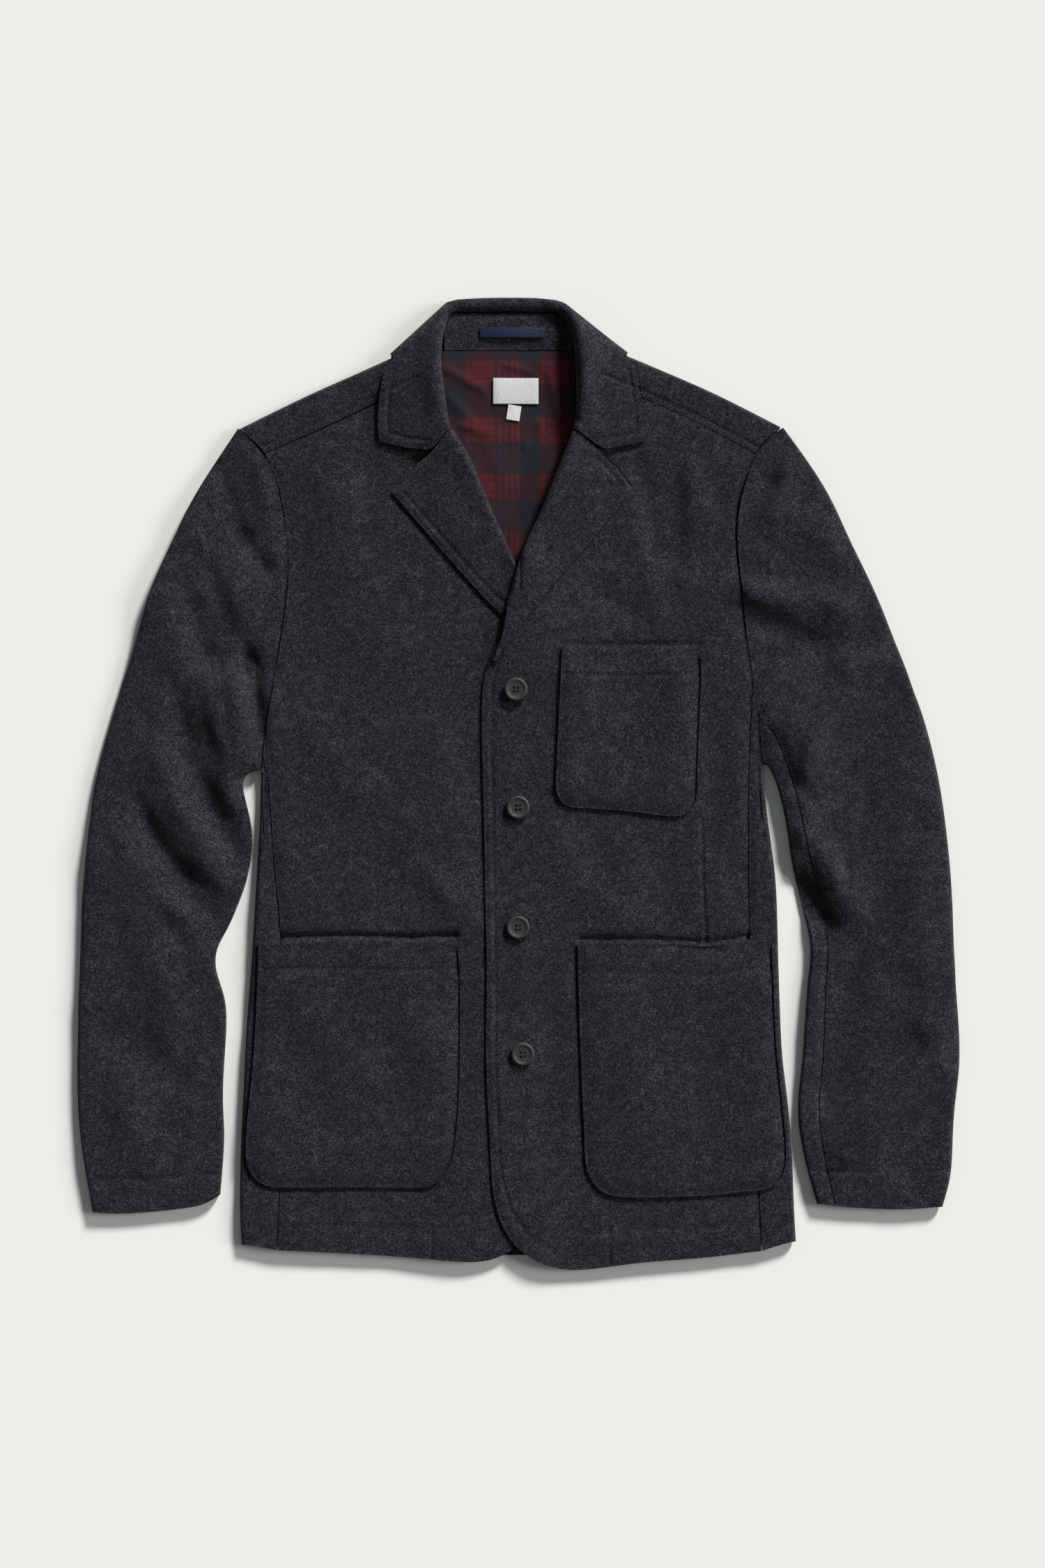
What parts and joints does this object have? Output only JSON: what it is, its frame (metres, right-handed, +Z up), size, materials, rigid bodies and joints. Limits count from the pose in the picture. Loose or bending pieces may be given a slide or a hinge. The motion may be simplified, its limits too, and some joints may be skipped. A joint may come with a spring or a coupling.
{
  "type": "chore blazer",
  "caption": "Single-breasted chore blazer in charcoal wool with notch lapels and patch pockets, laid flat on its back.",
  "frame": {"origin": "middle of the rectangle that the garment covers, on the surface it lies on", "axes": "+Z up, +Y towards the collar, +X towards the wearer's left"},
  "size_m": [0.7292, 0.8027, 0.0199],
  "materials": {
    "charcoal_wool": "matte",
    "plaid_lining": "matte",
    "navy_satin": "satin",
    "white_label": "matte",
    "grey_button": "matte"
  },
  "bodies": {
    "root": {"back": "charcoal_wool", "side_panel_right": "charcoal_wool", "side_panel_left": "charcoal_wool", "front_right": "charcoal_wool", "front_left": "charcoal_wool", "lapel_right": "charcoal_wool", "lapel_left": "charcoal_wool", "collar": "charcoal_wool", "collar_stand": "charcoal_wool", "sleeve_right_top": "charcoal_wool", "sleeve_right_under": "charcoal_wool", "sleeve_left_top": "charcoal_wool", "sleeve_left_under": "charcoal_wool", "chest_pocket": "charcoal_wool", "hip_pocket_right": "charcoal_wool", "hip_pocket_left": "charcoal_wool", "lining_back": "plaid_lining", "hang_loop": "navy_satin", "neck_label": "white_label", "size_tab": "white_label", "button_1": "grey_button", "button_2": "grey_button", "button_3": "grey_button", "button_4": "grey_button"}
  },
  "joints": []
}
